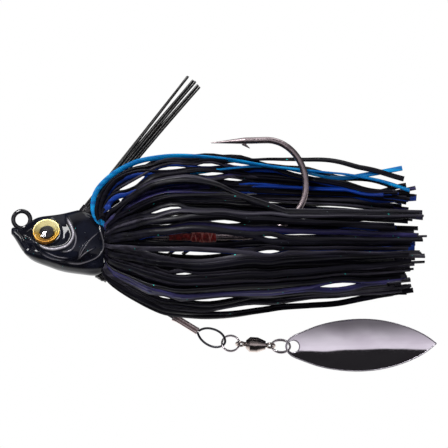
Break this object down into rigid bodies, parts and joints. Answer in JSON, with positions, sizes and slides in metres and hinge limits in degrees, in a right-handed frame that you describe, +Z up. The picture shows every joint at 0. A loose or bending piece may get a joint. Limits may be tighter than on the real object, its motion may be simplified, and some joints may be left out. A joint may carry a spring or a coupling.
{
  "type": "skirted spinnerbait",
  "caption": "Skirted lead-head fishing lure with a fibre weed guard and a willow blade that spins on a swivel slung under the head by a short wire.",
  "frame": {"origin": "centre of the line tie's hole", "axes": "+X from the nose towards the tail, +Z up from the keel to the weed guard, +Y to the lure's right, along the line tie's hole"},
  "size_m": [0.0783, 0.0252, 0.0542],
  "materials": {
    "head_paint": "gloss",
    "hook_nickel": "gloss",
    "guard_glue": "gloss",
    "guard_fibre": "satin",
    "collar_rubber": "matte",
    "thread_red": "satin",
    "keeper_bristle": "satin",
    "wire_steel": "satin",
    "sleeve_nickel": "gloss",
    "ring_nickel": "gloss",
    "swivel_nickel": "gloss",
    "ball_steel": "polished",
    "blade_nickel": "polished",
    "eye_gold": "gloss",
    "eye_black": "gloss",
    "eye_clear": "gloss",
    "skirt_silicone": "satin"
  },
  "bodies": {
    "head": {"head_casting": "head_paint", "hook": "hook_nickel", "weed_guard_plug": "guard_glue", "skirt_collar": "collar_rubber", "thread_wrap": "thread_red", "bait_keeper": "keeper_bristle", "wire_seal": "guard_glue", "eye_foil_left": "eye_gold", "eye_pupil_left": "eye_black", "eye_dome_left": "eye_clear", "eye_foil_right": "eye_gold", "eye_pupil_right": "eye_black", "eye_dome_right": "eye_clear"},
    "weed_guard": {"weed_guard_fibres": "guard_fibre"},
    "skirt_upper_left": {"skirt_upper_left": "skirt_silicone"},
    "skirt_upper_right": {"skirt_upper_right": "skirt_silicone"},
    "skirt_lower_left": {"skirt_lower_left": "skirt_silicone"},
    "skirt_lower_right": {"skirt_lower_right": "skirt_silicone"},
    "wire": {"blade_wire": "wire_steel", "wire_sleeve": "sleeve_nickel"},
    "front_ring": {"front_ring": "ring_nickel"},
    "swivel": {"swivel_front_eyelet": "swivel_nickel", "swivel_barrel": "swivel_nickel"},
    "balls": {"swivel_balls": "ball_steel"},
    "rotor": {"swivel_rear_eyelet": "swivel_nickel"},
    "rear_ring": {"rear_ring": "ring_nickel"},
    "blade": {"blade": "blade_nickel"}
  },
  "joints": [
    {"name": "guard_bend", "type": "hinge", "parent": "head", "child": "weed_guard", "pos_m": [0.01255, 0, 0.00201], "axis": [0, 1, 0], "range_deg": [-4, 14], "stiffness_Nm_per_rad": 0.02},
    {"name": "skirt_flare", "type": "hinge", "parent": "head", "child": "skirt_upper_left", "pos_m": [0.0175, 0, -0.0042], "axis": [0, -0.766, -0.6428], "range_deg": [0, 10], "stiffness_Nm_per_rad": 0.005},
    {"name": "skirt_flare_upper_right", "type": "hinge", "parent": "head", "child": "skirt_upper_right", "pos_m": [0.0175, 0, -0.0042], "axis": [0, -0.766, 0.6428], "range_deg": [0, 10], "stiffness_Nm_per_rad": 0.005},
    {"name": "skirt_flare_lower_left", "type": "hinge", "parent": "head", "child": "skirt_lower_left", "pos_m": [0.0175, 0, -0.0042], "axis": [0, 0.2588, -0.9659], "range_deg": [0, 10], "stiffness_Nm_per_rad": 0.005},
    {"name": "skirt_flare_lower_right", "type": "hinge", "parent": "head", "child": "skirt_lower_right", "pos_m": [0.0175, 0, -0.0042], "axis": [0, 0.2588, 0.9659], "range_deg": [0, 10], "stiffness_Nm_per_rad": 0.005},
    {"name": "wire_flex", "type": "hinge", "parent": "head", "child": "wire", "pos_m": [0.0154, 0, -0.01065], "axis": [0, 1, 0], "range_deg": [-2, 25], "stiffness_Nm_per_rad": 0.01},
    {"name": "front_ring_swing", "type": "hinge", "parent": "wire", "child": "front_ring", "pos_m": [0.0373, 0, -0.02268], "axis": [0.3622, -0.4226, 0.8308], "range_deg": [-26, 26]},
    {"name": "swivel_swing", "type": "hinge", "parent": "front_ring", "child": "swivel", "pos_m": [0.03837, 0, -0.02274], "axis": [-0.0279, 0.866, -0.4992], "range_deg": [-4, 30]},
    {"name": "blade_spin", "type": "hinge", "parent": "swivel", "child": "rotor", "pos_m": [0.04568, 0, -0.02315], "axis": [0.9984, 0, -0.0558], "continuous": true},
    {"name": "ball_orbit", "type": "hinge", "parent": "swivel", "child": "balls", "pos_m": [0.04341, 0, -0.02302], "axis": [0.9984, 0, -0.0558], "continuous": true},
    {"name": "rear_ring_swing", "type": "hinge", "parent": "rotor", "child": "rear_ring", "pos_m": [0.04643, 0, -0.02319], "axis": [-0.0296, 0.848, -0.5291], "range_deg": [-4, 35]},
    {"name": "blade_swing", "type": "hinge", "parent": "rear_ring", "child": "blade", "pos_m": [0.04759, 0, -0.02326], "axis": [-0.0428, 0.6428, -0.7649], "range_deg": [-5, 30]}
  ],
  "couplings": [
    {"joint": "skirt_flare_upper_right", "follows": "skirt_flare", "ratio": 1},
    {"joint": "skirt_flare_lower_left", "follows": "skirt_flare", "ratio": 1},
    {"joint": "skirt_flare_lower_right", "follows": "skirt_flare", "ratio": 1},
    {"joint": "ball_orbit", "follows": "blade_spin", "ratio": 0.3}
  ]
}
